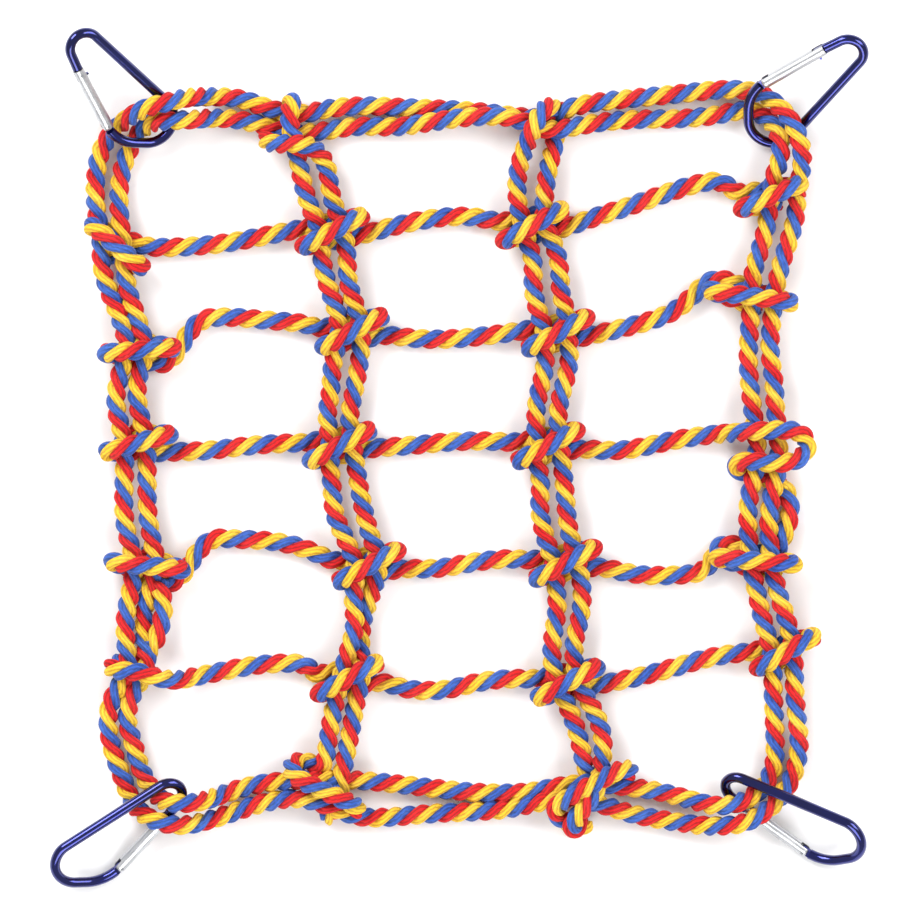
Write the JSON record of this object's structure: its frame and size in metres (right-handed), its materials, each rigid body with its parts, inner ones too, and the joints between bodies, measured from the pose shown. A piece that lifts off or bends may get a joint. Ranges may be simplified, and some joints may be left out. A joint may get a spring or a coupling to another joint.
{
  "type": "cargo climbing net",
  "caption": "Square knotted net of three-strand rope with sprung snap hooks clipped through its corners, hung in a cage for small birds or pets to climb.",
  "frame": {"origin": "centre of the net's outline, on the floor that it lies on", "axes": "+X to the right, +Y up the net as hung, +Z out of the net's front face"},
  "size_m": [0.3266, 0.343, 0.0416],
  "materials": {
    "laid_rope": "three-strand cotton, one strand each red, yellow and blue, left-hand lay",
    "knotted_rope": "the same three-strand cotton rope, drawn tight in knots",
    "blue_anodised_bar": "bright anodised, deep blue",
    "silver_gate": "plain, lightly brushed",
    "steel_pin": "riveted ends",
    "plunger": "turned",
    "spring_wire": "drawn wire"
  },
  "bodies": {
    "net_lower": {"border_outer_lower": "laid_rope", "border_outer_fold_spans": "laid_rope", "border_inner_lower": "laid_rope", "border_inner_fold_spans": "laid_rope", "column_1_lower": "laid_rope", "column_1_fold_spans": "laid_rope", "column_2_lower": "laid_rope", "column_2_fold_spans": "laid_rope", "border_outer_corner_left": "laid_rope", "border_outer_corner_right": "laid_rope", "border_inner_corner_left": "laid_rope", "border_inner_corner_right": "laid_rope", "row_3_rope": "laid_rope", "row_4_rope": "laid_rope", "row_5_rope": "laid_rope", "row_link_right": "laid_rope", "row_link_left": "laid_rope", "knots_row_3": "knotted_rope", "knots_row_4": "knotted_rope", "knots_row_5": "knotted_rope", "knots_bottom": "knotted_rope"},
    "net_upper": {"border_outer_upper": "laid_rope", "border_inner_upper": "laid_rope", "column_1_upper": "laid_rope", "column_2_upper": "laid_rope", "row_1_rope": "laid_rope", "row_2_rope": "laid_rope", "knots_row_1": "knotted_rope", "knots_row_2": "knotted_rope", "knots_top": "knotted_rope"},
    "hook_top_left": {"hook_top_left_frame": "blue_anodised_bar"},
    "gate_top_left": {"hook_top_left_gate": "silver_gate", "hook_top_left_hinge_pin": "steel_pin", "hook_top_left_latch_pin": "steel_pin", "hook_top_left_plunger": "plunger", "hook_top_left_spring": "spring_wire"},
    "hook_top_right": {"hook_top_right_frame": "blue_anodised_bar"},
    "gate_top_right": {"hook_top_right_gate": "silver_gate", "hook_top_right_hinge_pin": "steel_pin", "hook_top_right_latch_pin": "steel_pin", "hook_top_right_plunger": "plunger", "hook_top_right_spring": "spring_wire"},
    "hook_bottom_left": {"hook_bottom_left_frame": "blue_anodised_bar"},
    "gate_bottom_left": {"hook_bottom_left_gate": "silver_gate", "hook_bottom_left_hinge_pin": "steel_pin", "hook_bottom_left_latch_pin": "steel_pin", "hook_bottom_left_plunger": "plunger", "hook_bottom_left_spring": "spring_wire"},
    "hook_bottom_right": {"hook_bottom_right_frame": "blue_anodised_bar"},
    "gate_bottom_right": {"hook_bottom_right_gate": "silver_gate", "hook_bottom_right_hinge_pin": "steel_pin", "hook_bottom_right_latch_pin": "steel_pin", "hook_bottom_right_plunger": "plunger", "hook_bottom_right_spring": "spring_wire"}
  },
  "joints": [
    {"name": "net_fold", "type": "hinge", "parent": "net_lower", "child": "net_upper", "pos_m": [0, 0.0265, 0.0112], "axis": [1, 0, 0], "range_deg": [-60, 60], "deforming": ["border_outer_fold_spans", "border_inner_fold_spans", "column_1_fold_spans", "column_2_fold_spans"]},
    {"name": "hook_swing_top_left", "type": "hinge", "parent": "net_upper", "child": "hook_top_left", "pos_m": [-0.12298, 0.13533, 0.01741], "axis": [-1, 0, 0], "range_deg": [0, 36]},
    {"name": "gate_top_left", "type": "hinge", "parent": "hook_top_left", "child": "gate_top_left", "pos_m": [-0.1398, 0.1338, 0.02018], "axis": [-0.3534, 0.3588, -0.8639], "range_deg": [0, 20], "stiffness_Nm_per_rad": 0.02, "springref_deg": -28.65},
    {"name": "hook_swing_top_right", "type": "hinge", "parent": "net_upper", "child": "hook_top_right", "pos_m": [0.12853, 0.13473, 0.00999], "axis": [0, 1, 0], "range_deg": [0, 36]},
    {"name": "gate_top_right", "type": "hinge", "parent": "hook_top_right", "child": "gate_top_right", "pos_m": [0.12329, 0.15112, 0.01903], "axis": [0.095, 0.504, -0.8585], "range_deg": [0, 20], "stiffness_Nm_per_rad": 0.02, "springref_deg": -28.65},
    {"name": "hook_swing_bottom_left", "type": "hinge", "parent": "net_lower", "child": "hook_bottom_left", "pos_m": [-0.12829, -0.13608, 0.01428], "axis": [-0.5857, 0.5641, 0.5821], "range_deg": [0, 36]},
    {"name": "gate_bottom_left", "type": "hinge", "parent": "hook_bottom_left", "child": "gate_bottom_left", "pos_m": [-0.13468, -0.1621, 0.00345], "axis": [0.2943, -0.5211, 0.8011], "range_deg": [0, 20], "stiffness_Nm_per_rad": 0.02, "springref_deg": -28.65, "deforming": ["border_outer_corner_left", "border_inner_corner_left"]},
    {"name": "hook_swing_bottom_right", "type": "hinge", "parent": "net_lower", "child": "hook_bottom_right", "pos_m": [0.12282, -0.13484, 0.01547], "axis": [-0.3143, -0.6488, -0.693], "range_deg": [0, 12]},
    {"name": "gate_bottom_right", "type": "hinge", "parent": "hook_bottom_right", "child": "gate_bottom_right", "pos_m": [0.1385, -0.15565, 0.00297], "axis": [0.3878, 0.5785, -0.7176], "range_deg": [0, 20], "stiffness_Nm_per_rad": 0.02, "springref_deg": -28.65, "deforming": ["border_outer_corner_right", "border_inner_corner_right"]}
  ]
}
